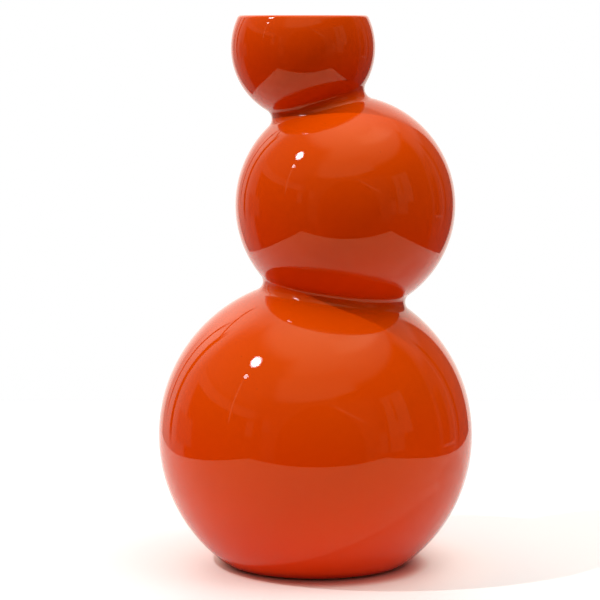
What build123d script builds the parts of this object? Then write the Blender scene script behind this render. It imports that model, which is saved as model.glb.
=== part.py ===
from build123d import *
from math import asin, atan2, cos, degrees, radians, sin, sqrt
import os

# Gourd vase of three leaning ceramic bulbs, luted one on another, on a bare foot ring.
# Millimetres, +Z up. The origin is the centre of the foot, on the table.
# The bulbs are spheres whose centres all lie in the XZ plane.

# Bulbs, over the outside
lower_radius = 120.9
middle_radius = 84.0
upper_radius = 54.7
wall = 6.0

# Joints: the circle where two outer spheres meet, and how far the line of centres
# leans towards +X, in degrees
lower_joint_radius = 48.9
upper_joint_radius = 30.4
lower_lean = 7.29
upper_lean = -15.11
throat_rounding = 1.5

# Slip that joins two bulbs: a thin bed between the cut faces, wiped to a hollow fillet
# outside and squeezed to a low bead in the throat
slip_thickness = 1.0
waist_fillet = 7.4
slip_edge = 0.3
bead_height = 3.0
bead_depth = 1.0

# Mouth: the middle of the lip above the centre of the upper bowl
lip_rise = 21.6

# Foot: where the lower bulb turns under, and the bare ring set into the underside
foot_edge_radius = 72.0
foot_edge_rounding = 4.0
foot_gap = 1.3
foot_recess = 5.0
foot_inset = 3.5
foot_ring_width = 8.0
foot_ring_rounding = 1.2
foot_clearance = 0.3
floor_thickness = 7.0
floor_rounding = 12.0

# Heights and centres of the bulbs. Each pair of spheres crosses in its joint circle,
# so the distance between two centres follows from that circle.
lower_height = foot_gap + sqrt(lower_radius**2 - foot_edge_radius**2)
lower_centre = Vector(0, 0, lower_height)
lower_axis_dir = Vector(sin(radians(lower_lean)), 0, cos(radians(lower_lean)))
lower_reach = sqrt(lower_radius**2 - lower_joint_radius**2)
lower_step = lower_reach + sqrt(middle_radius**2 - lower_joint_radius**2)

middle_centre = lower_centre + lower_axis_dir * lower_step
upper_axis_dir = Vector(sin(radians(upper_lean)), 0, cos(radians(upper_lean)))
middle_reach = sqrt(middle_radius**2 - upper_joint_radius**2)
upper_step = middle_reach + sqrt(upper_radius**2 - upper_joint_radius**2)
upper_centre = middle_centre + upper_axis_dir * upper_step

# The joint planes stand square to the lines of centres
lower_axis = Axis(lower_centre, lower_axis_dir)
upper_axis = Axis(middle_centre, upper_axis_dir)
lower_joint = Plane(lower_centre + lower_axis_dir * lower_reach, z_dir=lower_axis_dir)
upper_joint = Plane(middle_centre + upper_axis_dir * middle_reach, z_dir=upper_axis_dir)

# The throats are trimmed until each luted face is one wall wide
lower_throat_radius = lower_joint_radius - wall
upper_throat_radius = upper_joint_radius - wall


def slip_ring(centre, axis_dir, low_radius, high_radius, step, reach, throat_radius):
    """Half section of a luting ring, seen along the wall, between two bulbs."""
    section_plane = Plane(centre, x_dir=Vector(0, 1, 0).cross(axis_dir), z_dir=(0, -1, 0))
    low_face = reach - slip_thickness / 2
    high_face = reach + slip_thickness / 2
    low_rim = Vector(sqrt(low_radius**2 - low_face**2), low_face)
    high_rim = Vector(sqrt(high_radius**2 - (step - high_face) ** 2), high_face)

    # The hollow fillet is an arc that touches both spheres, one slip edge out
    low_centre = Vector(0, 0)
    high_centre = Vector(0, step)
    low_span = low_radius + slip_edge + waist_fillet
    high_span = high_radius + slip_edge + waist_fillet
    hollow_height = (step**2 + low_span**2 - high_span**2) / (2 * step)
    hollow = Vector(sqrt(low_span**2 - hollow_height**2), hollow_height)
    to_hollow_low = (hollow - low_centre).normalized()
    to_hollow_high = (hollow - high_centre).normalized()
    low_end = low_centre + to_hollow_low * low_radius
    high_end = high_centre + to_hollow_high * high_radius
    low_edge = low_centre + to_hollow_low * (low_radius + slip_edge)
    high_edge = high_centre + to_hollow_high * (high_radius + slip_edge)
    waist = hollow - Vector(waist_fillet, 0)

    with BuildSketch(section_plane) as section:
        with BuildLine():
            Line((throat_radius, low_face), low_rim)
            RadiusArc(low_rim, low_end, low_radius)
            Line(low_end, low_edge)
            ThreePointArc(low_edge, waist, high_edge)
            Line(high_edge, high_end)
            RadiusArc(high_end, high_rim, high_radius)
            Line(high_rim, (throat_radius, high_face))
            Line((throat_radius, high_face), (throat_radius, reach + bead_height / 2))
            ThreePointArc(
                (throat_radius, reach + bead_height / 2),
                (throat_radius - bead_depth, reach),
                (throat_radius, reach - bead_height / 2),
            )
            Line((throat_radius, reach - bead_height / 2), (throat_radius, low_face))
        make_face()
    return section.sketch


os.makedirs("parts", exist_ok=True)

# Lower bulb: turned shell with a flat floor, a rounded foot edge and a recessed underside
lower_inside = lower_radius - wall
floor_height = foot_recess + floor_thickness
floor_radius = sqrt(lower_inside**2 - (lower_height - floor_height) ** 2)
recess_radius = foot_edge_radius - foot_inset + foot_clearance
edge_angle = degrees(atan2(foot_gap - lower_height, foot_edge_radius))
floor_angle = degrees(atan2(floor_height - lower_height, floor_radius))
with BuildPart() as lower_bulb:
    with BuildSketch(Plane.XZ) as lower_section:
        with BuildLine():
            CenterArc((0, lower_height), lower_radius, edge_angle, 90 - edge_angle)
            Line((0, lower_height + lower_radius), (0, lower_height + lower_inside))
            CenterArc((0, lower_height), lower_inside, 90, floor_angle - 90)
            Polyline(
                (floor_radius, floor_height),
                (0, floor_height),
                (0, foot_recess),
                (recess_radius, foot_recess),
                (recess_radius, foot_gap),
                (foot_edge_radius, foot_gap),
            )
        make_face()
        corners = lower_section.vertices()
        fillet(corners.sort_by_distance((floor_radius, floor_height))[0], floor_rounding)
        fillet(corners.sort_by_distance((foot_edge_radius, foot_gap))[0], foot_edge_rounding)
    revolve(axis=Axis.Z)
    split(bisect_by=lower_joint.offset(-slip_thickness / 2), keep=Keep.BOTTOM)
    with BuildSketch(lower_joint):
        Circle(lower_throat_radius)
    extrude(amount=-2 * wall, mode=Mode.SUBTRACT)
    throat_wall = lower_bulb.faces().filter_by(GeomType.CYLINDER).sort_by(lower_axis)[-1]
    fillet(throat_wall.edges().filter_by(GeomType.CIRCLE).sort_by(lower_axis)[0], throat_rounding)
lower_bulb.part.label = "lower_bulb"
export_step(lower_bulb.part, "parts/lower_bulb.step")

# Middle bulb: round shell cut square to both lines of centres
with BuildPart() as middle_bulb:
    with Locations(middle_centre):
        Sphere(middle_radius)
        Sphere(middle_radius - wall, mode=Mode.SUBTRACT)
    split(bisect_by=lower_joint.offset(slip_thickness / 2), keep=Keep.TOP)
    split(bisect_by=upper_joint.offset(-slip_thickness / 2), keep=Keep.BOTTOM)
    with BuildSketch(lower_joint):
        Circle(lower_throat_radius)
    extrude(amount=2 * wall, mode=Mode.SUBTRACT)
    with BuildSketch(upper_joint):
        Circle(upper_throat_radius)
    extrude(amount=-2 * wall, mode=Mode.SUBTRACT)
    throat_walls = middle_bulb.faces().filter_by(GeomType.CYLINDER).sort_by(Axis.Z)
    bottom_throat = throat_walls[0].edges().filter_by(GeomType.CIRCLE).sort_by(lower_axis)
    top_throat = throat_walls[-1].edges().filter_by(GeomType.CIRCLE).sort_by(upper_axis)
    fillet([bottom_throat[-1], top_throat[0]], throat_rounding)
middle_bulb.part.label = "middle_bulb"
export_step(middle_bulb.part, "parts/middle_bulb.step")

# Upper bowl: turned shell with a full-round lip, cut below square to its line of centres
upper_inside = upper_radius - wall
lip_angle = degrees(asin(lip_rise / (upper_radius - wall / 2)))
bowl_plane = Plane(upper_centre, x_dir=(1, 0, 0), z_dir=(0, -1, 0))
lip_out = Vector(cos(radians(lip_angle)), sin(radians(lip_angle)))
lip_up = Vector(-sin(radians(lip_angle)), cos(radians(lip_angle)))
with BuildPart() as upper_bowl:
    with BuildSketch(bowl_plane):
        with BuildLine():
            CenterArc((0, 0), upper_radius, -90, 90 + lip_angle)
            ThreePointArc(
                lip_out * upper_radius,
                lip_out * (upper_radius - wall / 2) + lip_up * (wall / 2),
                lip_out * upper_inside,
            )
            CenterArc((0, 0), upper_inside, lip_angle, -90 - lip_angle)
            Line((0, -upper_inside), (0, -upper_radius))
        make_face()
    revolve(axis=Axis(upper_centre, (0, 0, 1)))
    split(bisect_by=upper_joint.offset(slip_thickness / 2), keep=Keep.TOP)
    with BuildSketch(upper_joint):
        Circle(upper_throat_radius)
    extrude(amount=2 * wall, mode=Mode.SUBTRACT)
    throat_wall = upper_bowl.faces().filter_by(GeomType.CYLINDER).sort_by(upper_axis)[0]
    fillet(throat_wall.edges().filter_by(GeomType.CIRCLE).sort_by(upper_axis)[-1], throat_rounding)
upper_bowl.part.label = "upper_bowl"
export_step(upper_bowl.part, "parts/upper_bowl.step")

# Luting rings: the slip of the two tilted joints, turned about the lines of centres
with BuildPart() as lower_luting_ring:
    add(
        slip_ring(
            lower_centre, lower_axis_dir, lower_radius, middle_radius,
            lower_step, lower_reach, lower_throat_radius,
        )
    )
    revolve(axis=lower_axis)
lower_luting_ring.part.label = "lower_luting_ring"
export_step(lower_luting_ring.part, "parts/lower_luting_ring.step")

with BuildPart() as upper_luting_ring:
    add(
        slip_ring(
            middle_centre, upper_axis_dir, middle_radius, upper_radius,
            upper_step, middle_reach, upper_throat_radius,
        )
    )
    revolve(axis=upper_axis)
upper_luting_ring.part.label = "upper_luting_ring"
export_step(upper_luting_ring.part, "parts/upper_luting_ring.step")

# Foot ring: bare turned ring, seated in the underside and proud of the glazed edge
foot_ring_radius = foot_edge_radius - foot_inset
with BuildPart() as foot_ring:
    with BuildSketch(Plane.XZ) as ring_section:
        with Locations((foot_ring_radius - foot_ring_width, 0)):
            Rectangle(foot_ring_width, foot_recess, align=Align.MIN)
        fillet(ring_section.vertices().group_by(Axis.Y)[0], foot_ring_rounding)
    revolve(axis=Axis.Z)
foot_ring.part.label = "foot_ring"
export_step(foot_ring.part, "parts/foot_ring.step")

print("height", round((upper_centre.Z + lip_rise + wall / 2), 2))
print("lower centre", lower_centre, "middle centre", middle_centre, "upper centre", upper_centre)
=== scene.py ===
# %% [markdown]
# # A gourd vase of three leaning bulbs
# The vase is one glazed pot: three round bulbs, each smaller than the one below it, stuck
# together with slip before the firing. The measured model is loaded as a fixed frame, and
# this lesson gives each clay piece a smooth skin, a finish and a place to stand. Lengths
# are in metres. A size that a potter would give in millimetres is written with MM.

# %% Load the frame
from math import asin, atan2, cos, pi, radians, sin, sqrt

import bmesh
import bpy
from mathutils import Matrix, Vector


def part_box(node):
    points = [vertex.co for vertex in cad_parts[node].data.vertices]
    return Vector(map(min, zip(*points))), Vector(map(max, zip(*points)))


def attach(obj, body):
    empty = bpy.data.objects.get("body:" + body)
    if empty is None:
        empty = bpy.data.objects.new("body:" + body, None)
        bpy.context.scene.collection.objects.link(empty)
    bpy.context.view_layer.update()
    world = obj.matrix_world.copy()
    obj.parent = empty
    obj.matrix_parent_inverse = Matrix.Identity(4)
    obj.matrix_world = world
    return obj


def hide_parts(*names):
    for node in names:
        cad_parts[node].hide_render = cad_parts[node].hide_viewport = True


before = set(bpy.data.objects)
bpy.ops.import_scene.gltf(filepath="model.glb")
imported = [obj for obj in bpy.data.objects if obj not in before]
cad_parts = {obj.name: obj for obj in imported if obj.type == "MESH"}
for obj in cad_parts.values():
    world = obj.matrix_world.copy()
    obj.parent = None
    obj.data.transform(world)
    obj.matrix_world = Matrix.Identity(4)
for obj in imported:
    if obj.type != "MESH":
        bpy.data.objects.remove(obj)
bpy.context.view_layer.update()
print("Nodes in the frame:", ", ".join(sorted(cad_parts)))

# %% [markdown]
# ## The sizes that drive the shape
# The bulbs are spheres, and each pair crosses in a circle: the joint. The radii, the joint
# circles and the two leans fix where every centre stands. They are the sizes the vase was
# measured by, so they are written once here, and the widths of the frame's boxes are
# printed beside them.

# %% Sizes of the vase
MM = 0.001
WALL = 6.0 * MM
LOWER_RADIUS = 120.9 * MM
MIDDLE_RADIUS = 84.0 * MM
UPPER_RADIUS = 54.7 * MM
LOWER_JOINT_RADIUS = 48.9 * MM
UPPER_JOINT_RADIUS = 30.4 * MM
LOWER_LEAN = radians(7.29)
UPPER_LEAN = radians(-15.11)
SLIP_THICKNESS = 1.0 * MM
LIP_RISE = 21.6 * MM
FOOT_EDGE_RADIUS = 72.0 * MM
FOOT_GAP = 1.3 * MM

lower_centre = Vector((0, 0, FOOT_GAP + sqrt(LOWER_RADIUS**2 - FOOT_EDGE_RADIUS**2)))
lower_axis = Vector((sin(LOWER_LEAN), 0, cos(LOWER_LEAN)))
lower_reach = sqrt(LOWER_RADIUS**2 - LOWER_JOINT_RADIUS**2)
lower_step = lower_reach + sqrt(MIDDLE_RADIUS**2 - LOWER_JOINT_RADIUS**2)
middle_centre = lower_centre + lower_axis * lower_step
upper_axis = Vector((sin(UPPER_LEAN), 0, cos(UPPER_LEAN)))
middle_reach = sqrt(MIDDLE_RADIUS**2 - UPPER_JOINT_RADIUS**2)
upper_step = middle_reach + sqrt(UPPER_RADIUS**2 - UPPER_JOINT_RADIUS**2)
upper_centre = middle_centre + upper_axis * upper_step

bulb_radii = {"lower_bulb": LOWER_RADIUS, "middle_bulb": MIDDLE_RADIUS, "upper_bowl": UPPER_RADIUS}
for node, radius in bulb_radii.items():
    low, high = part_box(node)
    across = (high[0] - low[0]) / MM
    print(f"{node}: {2 * radius / MM:.1f} mm across here, {across:.1f} mm in the frame")

# %% [markdown]
# ## Colours and nodes
# Colours are picked as sRGB hex values, the way a screen shows them, while the shaders
# count in linear light, so one function converts them. A second one adds a node with its
# settings and links, which keeps each material below as short as its recipe.


# %% Colour and node helpers
def linear(hex_colour):
    channels = [int(hex_colour[i : i + 2], 16) / 255 for i in (1, 3, 5)]
    lit = [c / 12.92 if c <= 0.04045 else ((c + 0.055) / 1.055) ** 2.4 for c in channels]
    return (*lit, 1.0)


def add_node(tree, kind, inputs=(), **settings):
    made = tree.nodes.new(kind)
    for key, value in settings.items():
        setattr(made, key, value)
    for socket, value in dict(inputs).items():
        if isinstance(value, bpy.types.NodeSocket):
            tree.links.new(value, made.inputs[socket])
        else:
            made.inputs[socket].default_value = value
    return made


def new_material(name):
    material = bpy.data.materials.new(name)
    material.use_nodes = True
    material.node_tree.nodes.clear()
    return material


print("Middle grey in linear light:", [round(c, 3) for c in linear("#808080")])

# %% [markdown]
# ## The colour of the glaze
# The skin is an orange-red glaze on stoneware: a coat of coloured glass, melted in the
# kiln. It could be one flat orange, but light and shade are painted into its colour: it
# turns lighter and more orange where the clay faces up, and redder and darker on the
# undersides. So the colour follows the slope of the clay, with a slow random drift in
# patches of a few centimetres. A thin scatter of iron specks, each smaller than a
# pinhead, sits in it.

# %% Colour of the glaze
PATCH = 45 * MM
PATCH_SHARE = 0.3
SPECK_SPACING = 17 * MM
SPECK_RADIUS = 0.32 * MM
# Painted shading: the darker red stands in for shade on the undersides, the lighter orange for light on the
# tops
SHADED_UNDERSIDE_RED = "#DC3400"
LIT_TOP_ORANGE = "#E64E00"
IRON_SPECK = "#8A2A08"

# Painted shading follows the slope, from -1, facing down and darkest, to 1, facing up
# and lightest, and the drift adds to it
FULL_SHADE_SLOPE = -0.5
FULL_LIGHT_SLOPE = 1.2

glaze = new_material("orange_glaze")
tree = glaze.node_tree
surface = add_node(tree, "ShaderNodeTexCoord")
place = surface.outputs["Object"]
upward = add_node(tree, "ShaderNodeSeparateXYZ", {0: surface.outputs["Normal"]})
patches = add_node(tree, "ShaderNodeTexNoise", {"Vector": place, "Scale": 1 / PATCH, "Detail": 3.0})
slope_and_drift = add_node(
    tree,
    "ShaderNodeMath",
    {0: patches.outputs["Fac"], 1: PATCH_SHARE, 2: upward.outputs["Z"]},
    operation="MULTIPLY_ADD",
)
painted_light_share = add_node(
    tree,
    "ShaderNodeMapRange",
    {"Value": slope_and_drift.outputs[0], "From Min": FULL_SHADE_SLOPE, "From Max": FULL_LIGHT_SLOPE},
    interpolation_type="SMOOTHSTEP",
)
# The glaze colour, with light and shade painted in by slope
painted_shading_colour = add_node(
    tree,
    "ShaderNodeMix",
    {"Factor": painted_light_share.outputs[0], "A": linear(SHADED_UNDERSIDE_RED), "B": linear(LIT_TOP_ORANGE)},
    data_type="RGBA",
)
specks = add_node(tree, "ShaderNodeTexVoronoi", {"Vector": place, "Scale": 1 / SPECK_SPACING})
speck_dot = add_node(
    tree,
    "ShaderNodeMath",
    {0: specks.outputs["Distance"], 1: SPECK_RADIUS / SPECK_SPACING},
    operation="LESS_THAN",
)
tint = add_node(
    tree,
    "ShaderNodeMix",
    {"Factor": speck_dot.outputs[0], "A": painted_shading_colour.outputs["Result"], "B": linear(IRON_SPECK)},
    data_type="RGBA",
)
print("Nodes for the colour of the glaze:", len(tree.nodes))

# %% [markdown]
# ## The gloss of the glaze
# Melted glass sets almost perfectly smooth, so the coat mirrors the room sharply and its
# roughness is close to zero. Its index is that of a light glass, and the warm tint gives
# the reflections the cast they have over this orange. A second, clear layer could give the
# same mirror, but one is all the real pot has. A very faint swell, left by the wet glaze,
# bends the mirrored edges a little.

# %% Gloss of the glaze
SWELL = 26 * MM
SWELL_DEPTH = 0.05 * MM
GLAZE_ROUGHNESS = 0.02
GLAZE_IOR = 1.45
GLOSS_TINT = "#FFE1AA"

swell = add_node(tree, "ShaderNodeTexNoise", {"Vector": place, "Scale": 1 / SWELL, "Detail": 1.0})
dent = add_node(
    tree,
    "ShaderNodeBump",
    {"Height": swell.outputs["Fac"], "Strength": 1.0, "Distance": SWELL_DEPTH},
)
gloss = add_node(
    tree,
    "ShaderNodeBsdfPrincipled",
    {
        "Base Color": tint.outputs["Result"],
        "Roughness": GLAZE_ROUGHNESS,
        "IOR": GLAZE_IOR,
        "Specular Tint": linear(GLOSS_TINT),
        "Normal": dent.outputs["Normal"],
    },
)
add_node(tree, "ShaderNodeOutputMaterial", {"Surface": gloss.outputs["BSDF"]})
print("Glaze nodes:", len(tree.nodes))

# %% [markdown]
# ## Bare clay
# The foot ring is wiped clean of glaze so that the pot does not stick to the kiln shelf.
# Fired stoneware is a dry, warm buff with darker grog in it, and it feels like fine
# sandpaper, so it has no gloss. Real grog is about half a millimetre across. It is drawn
# three times as coarse, because finer grain would not show.

# %% Bare stoneware
GROG = 1.6 * MM
GRAIN_DEPTH = 0.15 * MM
GRAIN_STRENGTH = 0.6
CLAY_ROUGHNESS = 0.85
DARK_CLAY = "#8C6748"
PALE_CLAY = "#C79F78"

clay = new_material("bare_stoneware")
tree = clay.node_tree
place = add_node(tree, "ShaderNodeTexCoord").outputs["Object"]
grog = add_node(tree, "ShaderNodeTexNoise", {"Vector": place, "Scale": 1 / GROG, "Detail": 6.0})
body = add_node(
    tree,
    "ShaderNodeMix",
    {"Factor": grog.outputs["Fac"], "A": linear(DARK_CLAY), "B": linear(PALE_CLAY)},
    data_type="RGBA",
)
grain = add_node(
    tree,
    "ShaderNodeBump",
    {"Height": grog.outputs["Fac"], "Strength": GRAIN_STRENGTH, "Distance": GRAIN_DEPTH},
)
dry = add_node(
    tree,
    "ShaderNodeBsdfPrincipled",
    {
        "Base Color": body.outputs["Result"],
        "Roughness": CLAY_ROUGHNESS,
        "Normal": grain.outputs["Normal"],
    },
)
add_node(tree, "ShaderNodeOutputMaterial", {"Surface": dry.outputs["BSDF"]})
print("Clay nodes:", len(tree.nodes))

# %% [markdown]
# ## Drawing a profile and turning it
# A potter's wheel is a lathe, and so is the spin operator. A profile is drawn in the XZ
# plane by leading one vertex along it: swing carries it round a centre and leaves an arc
# of edges, and draw_to takes it straight to a point. Then the whole profile is turned
# about the axis. Facets would break the mirror of the glaze, so the steps are fine.

# %% Profile helpers
AROUND = 256
MERGE = 0.002 * MM


def on_bulb(centre, radius, angle):
    return centre + radius * Vector((sin(angle), 0, cos(angle)))


def swing(bm, vert, centre, turn, steps):
    arc = bmesh.ops.spin(bm, geom=[vert], cent=centre, axis=(0, 1, 0), angle=turn, steps=steps)
    return next(g for g in arc["geom_last"] if isinstance(g, bmesh.types.BMVert))


def draw_to(bm, vert, point):
    moved = bmesh.ops.extrude_vert_indiv(bm, verts=[vert])["verts"][0]
    moved.co = point
    return moved


def turn_on_wheel(bm, centre):
    profile = bm.verts[:] + bm.edges[:]
    bmesh.ops.spin(
        bm, geom=profile, cent=centre, axis=(0, 0, 1), angle=2 * pi, steps=AROUND, use_merge=True
    )
    bmesh.ops.remove_doubles(bm, verts=bm.verts, dist=MERGE)


print(f"Facets round the lower bulb: {2 * pi * LOWER_RADIUS / AROUND / MM:.1f} mm wide")

# %% [markdown]
# ## From a bmesh to a piece of the vase
# Every piece ends the same way. Its doubles are merged, its faces turned outwards and
# shaded smooth, and only edges sharper than a potter's tool would leave stay hard. Then it
# takes the place of its node in the frame, which is hidden, is attached to the root body
# and gets its finish.

# %% Piece maker
SHARP = radians(40)


def make_piece(bm, name, node, material):
    bmesh.ops.remove_doubles(bm, verts=bm.verts, dist=MERGE)
    bmesh.ops.recalc_face_normals(bm, faces=bm.faces)
    for face in bm.faces:
        face.smooth = True
    for edge in bm.edges:
        edge.smooth = edge.calc_face_angle(0) < SHARP
    open_edges = sum(edge.is_boundary for edge in bm.edges)
    mesh = bpy.data.meshes.new(name)
    bm.to_mesh(mesh)
    bm.free()
    piece = bpy.data.objects.new(name, mesh)
    bpy.context.collection.objects.link(piece)
    mesh.materials.append(material)
    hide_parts(node)
    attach(piece, "root")
    print(f"{name}: {len(mesh.polygons)} faces, {open_edges} open edges")


# %% [markdown]
# ## Opening a bulb at its joint
# Where two bulbs meet, both are cut square to the line between their centres. bisect_plane
# cuts the outer skin just short of the joint plane, to leave room for the slip. The inner
# skin is cut further in, at the same angle from the centre, and bridging the two rims
# closes the wall. A boolean could cut both at once, but it leaves ragged rims.


# %% Joint cutter
def skin(bm, centre, low, high):
    faces = [f for f in bm.faces if low < (f.calc_center_median() - centre).length < high]
    edges = {edge for face in faces for edge in face.edges}
    verts = {vert for face in faces for vert in face.verts}
    return faces + list(edges) + list(verts)


def rim_at(bm, centre, direction, reach):
    on_plane = [abs((v.co - centre).dot(direction) - reach) < MERGE for v in bm.verts]
    bm.verts.index_update()
    return [e for e in bm.edges if e.is_boundary and all(on_plane[v.index] for v in e.verts)]


def open_joint(bm, centre, radius, direction, reach):
    mid_wall = radius - WALL / 2
    outer_skin = (mid_wall, 2 * radius, reach - SLIP_THICKNESS / 2)
    inner_skin = (0, mid_wall, (radius - WALL) * reach / radius)
    rims = []
    for low, high, cut in (outer_skin, inner_skin):
        bmesh.ops.bisect_plane(
            bm,
            geom=skin(bm, centre, low, high),
            plane_co=centre + direction * cut,
            plane_no=direction,
            clear_outer=True,
        )
        rims += rim_at(bm, centre, direction, cut)
    bmesh.ops.bridge_loops(bm, edges=rims)
    print(f"Joint opened, with {len(rims)} edges on its two rims")


# %% [markdown]
# ## Lower bulb, outside
# The largest bulb stands on the table. Its profile runs down the outside, turns under in a
# soft glazed edge and steps up into the shallow recess of the underside. It could be a
# ball with its ends cut off, but a drawn profile gives the rounded edge at once. It starts
# a degree away from the top, where the joint is cut anyway.

# %% Outside of the lower bulb
POLE = radians(1)
FOOT_EDGE_ROUNDING = 4.0 * MM
FOOT_RECESS = 5.0 * MM
FOOT_INSET = 3.5 * MM
FOOT_CLEARANCE = 0.3 * MM

recess_radius = FOOT_EDGE_RADIUS - FOOT_INSET + FOOT_CLEARANCE
edge_height = FOOT_GAP + FOOT_EDGE_ROUNDING
edge_span = LOWER_RADIUS - FOOT_EDGE_ROUNDING
edge_centre = Vector((sqrt(edge_span**2 - (lower_centre.z - edge_height) ** 2), 0, edge_height))
edge_angle = atan2(edge_centre.x, edge_height - lower_centre.z)

bm = bmesh.new()
tip = bm.verts.new(on_bulb(lower_centre, LOWER_RADIUS, POLE))
tip = swing(bm, tip, lower_centre, edge_angle - POLE, steps=110)
tip = swing(bm, tip, edge_centre, pi - edge_angle, steps=8)
tip = draw_to(bm, tip, (recess_radius, 0, FOOT_GAP))
tip = draw_to(bm, tip, (recess_radius, 0, FOOT_RECESS))
draw_to(bm, tip, (0, 0, FOOT_RECESS))
print("Points down the outside:", len(bm.verts))

# %% [markdown]
# ## Lower bulb, inside
# A second line in the same bmesh starts in the middle of the flat floor, blends into the
# inner wall and climbs to the top. Both lines are turned together, and cutting the joint
# closes the wall between them.

# %% Inside of the lower bulb
FLOOR_THICKNESS = 7.0 * MM
FLOOR_ROUNDING = 12.0 * MM

floor_height = FOOT_RECESS + FLOOR_THICKNESS
blend_height = floor_height + FLOOR_ROUNDING
blend_span = LOWER_RADIUS - WALL - FLOOR_ROUNDING
blend_centre = Vector((sqrt(blend_span**2 - (lower_centre.z - blend_height) ** 2), 0, blend_height))
blend_angle = atan2(blend_centre.x, blend_height - lower_centre.z)

tip = bm.verts.new((0, 0, floor_height))
tip = draw_to(bm, tip, (blend_centre.x, 0, floor_height))
tip = swing(bm, tip, blend_centre, blend_angle - pi, steps=10)
swing(bm, tip, lower_centre, POLE - blend_angle, steps=90)

turn_on_wheel(bm, lower_centre)
open_joint(bm, lower_centre, LOWER_RADIUS, lower_axis, lower_reach)
make_piece(bm, "lower_bulb_skin", "lower_bulb", glaze)

# %% [markdown]
# ## Middle bulb
# The middle bulb is a plain ball, open at both ends. Two arcs give its outer and inner
# skin, and the joint cutter opens it once below and once above.

# %% Middle bulb
bm = bmesh.new()
for radius in (MIDDLE_RADIUS, MIDDLE_RADIUS - WALL):
    tip = bm.verts.new(on_bulb(middle_centre, radius, POLE))
    swing(bm, tip, middle_centre, pi - 2 * POLE, steps=130)
turn_on_wheel(bm, middle_centre)
open_joint(bm, middle_centre, MIDDLE_RADIUS, -lower_axis, lower_step - lower_reach)
open_joint(bm, middle_centre, MIDDLE_RADIUS, upper_axis, middle_reach)
make_piece(bm, "middle_bulb_skin", "middle_bulb", glaze)

# %% [markdown]
# ## Upper bowl
# The mouth is a third ball with its top cut level. Its lip is rolled to a full round, so
# the profile goes up the outside, over the lip in half a circle, and down the inside.

# %% Upper bowl
lip_angle = asin(LIP_RISE / (UPPER_RADIUS - WALL / 2))
lip_centre = on_bulb(upper_centre, UPPER_RADIUS - WALL / 2, pi / 2 - lip_angle)
bowl_turn = pi / 2 + lip_angle - POLE

bm = bmesh.new()
tip = bm.verts.new(on_bulb(upper_centre, UPPER_RADIUS, pi - POLE))
tip = swing(bm, tip, upper_centre, -bowl_turn, steps=90)
tip = swing(bm, tip, lip_centre, -pi, steps=24)
swing(bm, tip, upper_centre, bowl_turn, steps=90)
turn_on_wheel(bm, upper_centre)
open_joint(bm, upper_centre, UPPER_RADIUS, -upper_axis, upper_step - middle_reach)
make_piece(bm, "upper_bowl_skin", "upper_bowl", glaze)

# %% [markdown]
# ## Luted waists
# The slip between two bulbs is wiped to a hollow fillet, and the glaze runs over it without
# a break. The section of that ring is drawn upright, with the lower bulb's centre at the
# origin, turned, and then leaned over with one transform. Its edges lap onto both bulbs in
# a film thinner than a hair, so that the reflections flow from ball to waist to ball.

# %% Waist rings
WAIST_FILLET = 7.7 * MM
FILM = 0.015 * MM
LAP = 0.8 * MM


def waist_ring(name, node, centre, lean, low_radius, high_radius, step, reach):
    low = Vector((0, 0, 0))
    high = Vector((0, 0, step))
    low_span = low_radius + FILM + WAIST_FILLET
    high_span = high_radius + FILM + WAIST_FILLET
    hollow_height = (step**2 + low_span**2 - high_span**2) / (2 * step)
    hollow = Vector((sqrt(low_span**2 - hollow_height**2), 0, hollow_height))
    low_touch = asin(hollow.x / low_span)
    high_touch = pi - asin(hollow.x / high_span)
    low_lap = LAP / low_radius
    high_lap = LAP / high_radius

    joint = Vector((sqrt(low_radius**2 - reach**2), 0, reach))
    low_joint = atan2(joint.x, reach)
    high_joint = atan2(joint.x, reach - step)

    # Up the outside: the lower lap, the hollow fillet and the upper lap
    bm = bmesh.new()
    tip = bm.verts.new(on_bulb(low, low_radius + FILM, low_touch + low_lap))
    tip = swing(bm, tip, low, -low_lap, steps=4)
    tip = swing(bm, tip, hollow, high_touch - low_touch, steps=56)
    tip = swing(bm, tip, high, -high_lap, steps=4)

    # Back along the upper bulb, round the bead in the throat, and along the lower bulb
    tip = draw_to(bm, tip, on_bulb(high, high_radius, high_touch - high_lap))
    tip = swing(bm, tip, high, high_joint - high_touch + high_lap, steps=12)
    tip = draw_to(bm, tip, on_bulb(high, high_radius - WALL, high_joint))
    tip = swing(bm, tip, joint, low_joint - high_joint, steps=24)
    tip = draw_to(bm, tip, on_bulb(low, low_radius, low_joint))
    tip = swing(bm, tip, low, low_touch + low_lap - low_joint, steps=12)
    draw_to(bm, tip, on_bulb(low, low_radius + FILM, low_touch + low_lap))

    turn_on_wheel(bm, low)
    upright_to_leaning = Matrix.Translation(centre) @ Matrix.Rotation(lean, 4, "Y")
    bmesh.ops.transform(bm, matrix=upright_to_leaning, verts=bm.verts)
    print(f"{name}: waist {2 * (hollow.x - WAIST_FILLET) / MM:.1f} mm across")
    make_piece(bm, name, node, glaze)


waist_ring(
    "lower_waist_slip", "lower_luting_ring", lower_centre, LOWER_LEAN,
    LOWER_RADIUS, MIDDLE_RADIUS, lower_step, lower_reach,
)
waist_ring(
    "upper_waist_slip", "upper_luting_ring", middle_centre, UPPER_LEAN,
    MIDDLE_RADIUS, UPPER_RADIUS, upper_step, middle_reach,
)

# %% [markdown]
# ## Foot ring
# The ring under the vase is turned from the same clay and left bare. Two rounded corners
# keep it from chipping, and its flat face is all that touches the table.

# %% Foot ring
FOOT_RING_WIDTH = 8.0 * MM
FOOT_RING_ROUNDING = 1.2 * MM

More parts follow.
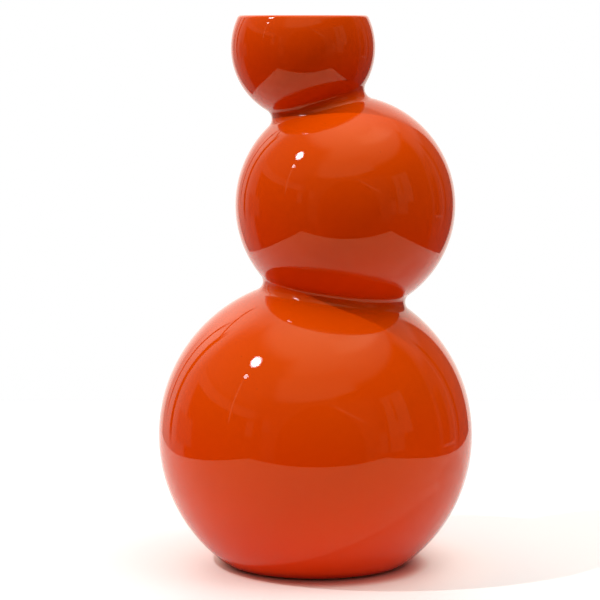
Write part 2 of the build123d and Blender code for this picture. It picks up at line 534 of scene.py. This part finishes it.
ring_outer = FOOT_EDGE_RADIUS - FOOT_INSET
ring_inner = ring_outer - FOOT_RING_WIDTH
bm = bmesh.new()
tip = bm.verts.new((ring_outer, 0, FOOT_RECESS))
tip = draw_to(bm, tip, (ring_outer, 0, FOOT_RING_ROUNDING))
tip = swing(bm, tip, (ring_outer - FOOT_RING_ROUNDING, 0, FOOT_RING_ROUNDING), pi / 2, steps=8)
tip = draw_to(bm, tip, (ring_inner + FOOT_RING_ROUNDING, 0, 0))
tip = swing(bm, tip, (ring_inner + FOOT_RING_ROUNDING, 0, FOOT_RING_ROUNDING), pi / 2, steps=8)
tip = draw_to(bm, tip, (ring_inner, 0, FOOT_RECESS))
draw_to(bm, tip, (ring_outer, 0, FOOT_RECESS))
turn_on_wheel(bm, Vector((0, 0, 0)))
make_piece(bm, "foot_ring_clay", "foot_ring", clay)

# %% [markdown]
# ## White laminate
# The table top is a satin white board. Close to the foot its colour is painted pinkish,
# as painted bounce light from the orange vase. The camera sees a faint glow in it, painted
# warm near the vase as the same bounce light, which lifts the board to white and still
# leaves the shadow. More light could do that too, but it would bleach the glaze. The glow
# sets in where the dark line under the foot ends.

# %% White laminate
GLOW_CENTRE = (6 * MM, -12 * MM, 0)
GLOW_STARTS = (69 * MM, 85 * MM)
WARMTH_FADES = (90 * MM, 160 * MM)
# Painted bounce light: the warm glow and the pinkish board near the foot stand in for orange light thrown
# back by the vase
WARM_PAINTED_BOUNCE = "#78665A"
PLAIN_GLOW = "#30343A"
PAINTED_BOUNCE_WHITE = "#FFC4B4"
BOARD_WHITE = "#F4F4F4"
BOARD_ROUGHNESS = 0.5

laminate = new_material("white_laminate")
tree = laminate.node_tree
place = add_node(tree, "ShaderNodeTexCoord").outputs["Object"]
from_foot = add_node(tree, "ShaderNodeVectorMath", {0: place, 1: GLOW_CENTRE}, operation="DISTANCE")
near, far = (
    add_node(
        tree,
        "ShaderNodeMapRange",
        {"Value": from_foot.outputs["Value"], "From Min": start, "From Max": end},
        interpolation_type="SMOOTHSTEP",
    )
    for start, end in (GLOW_STARTS, WARMTH_FADES)
)
glow = add_node(
    tree,
    "ShaderNodeMix",
    {"Factor": far.outputs[0], "A": linear(WARM_PAINTED_BOUNCE), "B": linear(PLAIN_GLOW)},
    data_type="RGBA",
)
ray = add_node(tree, "ShaderNodeLightPath")
lift = add_node(
    tree, "ShaderNodeMath", {0: ray.outputs["Is Camera Ray"], 1: near.outputs[0]}, operation="MULTIPLY"
)
# Painted bounce light: the board is pinkish near the foot and plain white further out
painted_bounce_tint = add_node(
    tree,
    "ShaderNodeMix",
    {"Factor": near.outputs[0], "A": linear(PAINTED_BOUNCE_WHITE), "B": linear(BOARD_WHITE)},
    data_type="RGBA",
)
board = add_node(
    tree,
    "ShaderNodeBsdfPrincipled",
    {
        "Base Color": painted_bounce_tint.outputs["Result"],
        "Roughness": BOARD_ROUGHNESS,
        "Emission Color": glow.outputs["Result"],
        "Emission Strength": lift.outputs[0],
    },
)
add_node(tree, "ShaderNodeOutputMaterial", {"Surface": board.outputs["BSDF"]})
print("Laminate nodes:", len(tree.nodes))

# %% [markdown]
# ## Table
# A gloss this sharp shows whatever stands round it, so the table has a real size, a little
# over a metre: its edges draw the line across each bulb. It narrows towards the back, as
# its mirror image does. An endless floor would be simpler, but it would leave that line
# out. Four corners and one face are enough for a flat top.

# %% Table
TABLE_FRONT = ((-0.52, -0.52, 0), (0.575, -0.52, 0))
TABLE_BACK = ((0.47, 0.75, 0), (-0.42, 0.75, 0))

bm = bmesh.new()
corners = [bm.verts.new(corner) for corner in TABLE_FRONT + TABLE_BACK]
bmesh.ops.contextual_create(bm, geom=corners)
table_mesh = bpy.data.meshes.new("table")
bm.to_mesh(table_mesh)
bm.free()
table = bpy.data.objects.new("table", table_mesh)
bpy.context.collection.objects.link(table)
table_mesh.materials.append(laminate)
print("Table:", [round(v, 2) for v in table.dimensions])

# %% [markdown]
# ## Studio walls
# The glaze mirrors the room as well: a bright ceiling, dim walls, an umbrella on each side
# and bright sheets behind the vase. Real walls would stand in the way of a camera on the
# other sides, so the room is painted on the world by compass direction. Zero degrees is
# the front, plus is to the right, and the ceiling brightens towards the top.

# %% Compass and ceiling
CEILING_RISE = (23, 95)
CEILING_LEVEL = (0.04, 2.0)

world = bpy.data.worlds.new("studio")
world.use_nodes = True
bpy.context.scene.world = world
tree = world.node_tree
tree.nodes.clear()
look = add_node(tree, "ShaderNodeTexCoord").outputs["Generated"]
part = add_node(tree, "ShaderNodeSeparateXYZ", {0: look})
to_front = add_node(tree, "ShaderNodeMath", {0: part.outputs["Y"], 1: -1.0}, operation="MULTIPLY")
compass = add_node(
    tree, "ShaderNodeMath", {0: part.outputs["X"], 1: to_front.outputs[0]}, operation="ARCTAN2"
)
rise = add_node(tree, "ShaderNodeMath", {0: part.outputs["Z"]}, operation="ARCSINE")
turned = add_node(tree, "ShaderNodeMath", {0: compass.outputs[0]}, operation="DEGREES")
raised = add_node(tree, "ShaderNodeMath", {0: rise.outputs[0]}, operation="DEGREES")
bearing = add_node(tree, "ShaderNodeCombineXYZ", {"X": turned.outputs[0], "Y": raised.outputs[0]})
ceiling = add_node(
    tree,
    "ShaderNodeMapRange",
    {
        "Value": raised.outputs[0],
        "From Min": CEILING_RISE[0],
        "From Max": CEILING_RISE[1],
        "To Min": CEILING_LEVEL[0],
        "To Max": CEILING_LEVEL[1],
    },
    interpolation_type="SMOOTHSTEP",
)
print("Ceiling level:", CEILING_LEVEL[0], "at the walls to", CEILING_LEVEL[1], "overhead")

# %% [markdown]
# ## Panels on the walls
# Everything else in the room is a soft-edged panel, square or round, laid over what was
# painted before. A mirrored room only needs the right patch of light in the right place,
# so a wall, an umbrella and its stand are all one kind of thing.

# %% Panels
# One line a panel: name, turn and height of its middle in degrees, width, height, roll,
# softness of its edge as a share of its half size, level, and whether it is round
PANELS = (
    ("left ceiling", -76, 43, 90, 38, 0, 0.30, 0.25, False),
    ("right wall", 74, -4, 106, 98, 5, 0.06, 0.02, False),
    ("bright ceiling on the right", 76, 68, 72, 12, -9, 0.50, 2.00, False),
    ("front ceiling", 0, 43, 70, 18, 8, 0.14, 0.66, False),
    ("front wall", 0, 10, 96, 44, 0, 0.15, 0.11, False),
    ("left wall", -80, -21, 80, 77, 0, 0.03, 0.03, False),
    ("left beam", -82, 21, 70, 6, -3, 0.15, 0.36, False),
    ("sheet behind, left", -174, -5, 46, 104, 0, 0.06, 1.20, False),
    ("sheet behind, right", 164, -5, 80, 104, 0, 0.06, 1.20, False),
    ("left umbrella", -131.5, 4, 41, 84, 0, 0.10, 0.36, True),
    ("lit part of the left umbrella", -139, 20, 30, 60, 0, 0.60, 0.80, True),
    ("bright top of the left umbrella", -144, 36, 36, 34, 0, 0.60, 1.60, True),
    ("left stand", -131.7, 14, 4.2, 44, 0, 0.20, 0.0, False),
    ("thin left stand", -143.2, 15, 2.2, 34, 0, 0.30, 0.04, False),
    ("boom of the left stand", -142, 36, 20, 1.8, -20, 0.30, 0.04, False),
    ("crate by the left umbrella", -112, -2, 20, 12, 0, 0.15, 0.20, False),
    ("doorway arch", 3, -5, 66, 70, 0, 0.03, 0.01, True),
    ("light along the arch", 26, 23, 23, 1.8, -31, 0.50, 0.50, False),
    ("picture", -50, 10, 6, 10, 0, 0.12, 0.30, False),
    ("poster", -37, 13.5, 6, 8, 0, 0.12, 0.26, False),
    ("cupboard", 57, 1, 20, 13, 0, 0.12, 0.24, False),
    ("window", 64, 17, 22, 25, 0, 0.06, 0.32, False),
    ("window frame", 54, 10, 1.8, 34, 0, 0.35, 0.0, False),
    ("window bar", 63, 20, 2.0, 14, 0, 0.35, 0.05, False),
    ("bench", 45, -3, 14, 1.5, 0, 0.40, 0.20, False),
    ("right umbrella", 126.5, 5, 51, 82, 0, 0.04, 0.12, True),
    ("lit top of the right umbrella", 131, 38, 36, 18, 0, 0.40, 0.40, False),
    ("dark part of the right umbrella", 110, 3, 9, 26, 0, 0.30, 0.02, False),
    ("lit rib of the right umbrella", 122, 8, 1.6, 50, 0, 0.40, 0.30, False),
    ("right stand", 128, 12, 2.6, 40, 0, 0.25, 0.0, False),
    ("foot of the right stand", 114, -8, 14, 1.2, 0, 0.40, 0.40, False),
    ("stand of the second lamp", -69, 25, 1.2, 24, 5, 0.40, 1.20, False),
)


def hang_panel(under, name, turn, height, wide, tall, roll, soft, level, is_round):
    middle = (turn, height, 0)
    half_size = (wide / 2, tall / 2, 1)
    away = add_node(tree, "ShaderNodeVectorMath", {0: bearing.outputs[0], 1: middle}, operation="SUBTRACT")
    rolled = add_node(
        tree,
        "ShaderNodeVectorRotate",
        {"Vector": away.outputs[0], "Angle": -radians(roll)},
        rotation_type="Z_AXIS",
    )
    share = add_node(tree, "ShaderNodeVectorMath", {0: rolled.outputs[0], 1: half_size}, operation="DIVIDE")
    if is_round:
        span = add_node(tree, "ShaderNodeVectorMath", {0: share.outputs[0]}, operation="LENGTH")
        reach = span.outputs["Value"]
    else:
        apart = add_node(tree, "ShaderNodeVectorMath", {0: share.outputs[0]}, operation="ABSOLUTE")
        sides = add_node(tree, "ShaderNodeSeparateXYZ", {0: apart.outputs[0]})
        further = add_node(
            tree, "ShaderNodeMath", {0: sides.outputs["X"], 1: sides.outputs["Y"]}, operation="MAXIMUM"
        )
        reach = further.outputs[0]
    cover = add_node(
        tree,
        "ShaderNodeMapRange",
        {"Value": reach, "From Min": 1 - soft, "From Max": 1 + soft, "To Min": 1.0, "To Max": 0.0},
        interpolation_type="SMOOTHSTEP",
    )
    layers = {"Factor": cover.outputs[0], "A": under, "B": level}
    return add_node(tree, "ShaderNodeMix", layers, label=name).outputs["Result"]


room = ceiling.outputs[0]
for panel in PANELS:
    room = hang_panel(room, *panel)
print("Panels in the studio:", len(PANELS))

# %% [markdown]
# ## What the camera sees behind the vase
# The picture has a plain white ground, while the glaze has to mirror the room. The light
# path tells the two apart: a ray straight from the camera gets white at a strength of one,
# and every other ray gets the room, in a slightly warm white.

# %% White ground
ROOM_LIGHT = "#FFF9F0"
GROUND_WHITE = "#FFFFFF"

ray = add_node(tree, "ShaderNodeLightPath")
from_camera = ray.outputs["Is Camera Ray"]
strength = add_node(tree, "ShaderNodeMix", {"Factor": from_camera, "A": room, "B": 1.0})
hue = add_node(
    tree,
    "ShaderNodeMix",
    {"Factor": from_camera, "A": linear(ROOM_LIGHT), "B": linear(GROUND_WHITE)},
    data_type="RGBA",
)
backdrop = add_node(
    tree,
    "ShaderNodeBackground",
    {"Color": hue.outputs["Result"], "Strength": strength.outputs["Result"]},
)
add_node(tree, "ShaderNodeOutputWorld", {"Surface": backdrop.outputs[0]})
print("Nodes in the world:", len(tree.nodes))

# %% [markdown]
# ## Lamps
# One small bulb high on the left casts the shadow, and large cloths fill the rest softly.
# The bright spots on the glaze are the shades of two lamps, which only the gloss sees. A
# lamp that both lights and is mirrored would burn its spot out to a hard edge. The shades
# are cool, so that they come out white under the warm gloss, and a dimmer rim round the
# first one softens its edge.

# %% Lamps
VASE_MIDDLE = (0, 0, 0.2)
SHADE_PLACE = (-1.09, -0.41, 1.51)
COOL_WHITE = "#AEC4FF"
PLAIN_WHITE = "#FFFFFF"

# One line a lamp: name, place, what it faces, size in metres, watts, shape, and whether it
# is only mirrored or only gives light
LAMPS = (
    ("lamp_bulb", (-1.12, -0.40, 1.55), VASE_MIDDLE, 0.03, 14.8, "DISK", False),
    ("lamp_shade", SHADE_PLACE, VASE_MIDDLE, 0.21, 8.0, "DISK", True),
    ("shade_rim", SHADE_PLACE, VASE_MIDDLE, 0.26, 3.0, "DISK", True),
    ("second_shade", (-1.48, -0.60, 1.45), VASE_MIDDLE, 0.11, 0.85, "DISK", True),
    ("overhead_cloth", (0.85, -0.25, 1.50), VASE_MIDDLE, 1.4, 9.4, "SQUARE", False),
    ("front_cloth", (1.30, -1.20, 0.25), VASE_MIDDLE, 0.8, 1.0, "SQUARE", False),
    ("left_cloth", (-1.40, 0.45, 0.40), VASE_MIDDLE, 0.8, 1.7, "SQUARE", False),
    ("table_bounce", (0, -0.20, 0.005), (0, -0.20, 1), 0.3, 0.04, "SQUARE", False),
    ("back_lamp", (0, 0.65, 0.60), (0, 0.65, 0), 0.8, 1.2, "SQUARE", False),
)

for name, stand, faces, size, watts, shape, mirrored in LAMPS:
    lamp_data = bpy.data.lights.new(name, "AREA")
    lamp_data.shape = shape
    lamp_data.size = size
    lamp_data.energy = watts
    lamp_data.color = linear(COOL_WHITE if mirrored else PLAIN_WHITE)[:3]
    lamp = bpy.data.objects.new(name, lamp_data)
    lamp.location = stand
    lamp.rotation_euler = (Vector(faces) - lamp.location).to_track_quat("-Z", "Y").to_euler()
    lamp.visible_camera = False
    lamp.visible_diffuse = not mirrored
    lamp.visible_glossy = mirrored
    bpy.context.collection.objects.link(lamp)
    print(f"{name}: {lamp.location.length:.2f} m from the vase")

# %% [markdown]
# ## Camera
# The rim of the mouth is seen exactly edge on, so the lens is level with it, and it looks
# a little down to take in the foot. The distance follows from how round the foot looks.

# %% Camera
IMAGE_PIXELS = 600
FOCAL_PIXELS = 2362
SENSOR_WIDTH = 36.0
LENS_PLACE = (-11.9 * MM, -1.8, 420.4 * MM)
LENS_TILT = radians(6.89)

camera_data = bpy.data.cameras.new("camera")
camera_data.sensor_width = SENSOR_WIDTH
camera_data.lens = SENSOR_WIDTH * FOCAL_PIXELS / IMAGE_PIXELS
camera = bpy.data.objects.new("camera", camera_data)
camera.location = LENS_PLACE
camera.rotation_euler = (pi / 2 - LENS_TILT, 0, 0)
bpy.context.collection.objects.link(camera)
bpy.context.scene.camera = camera
bpy.context.scene.view_settings.view_transform = "Standard"
print("Lens:", round(camera_data.lens, 1), "mm")
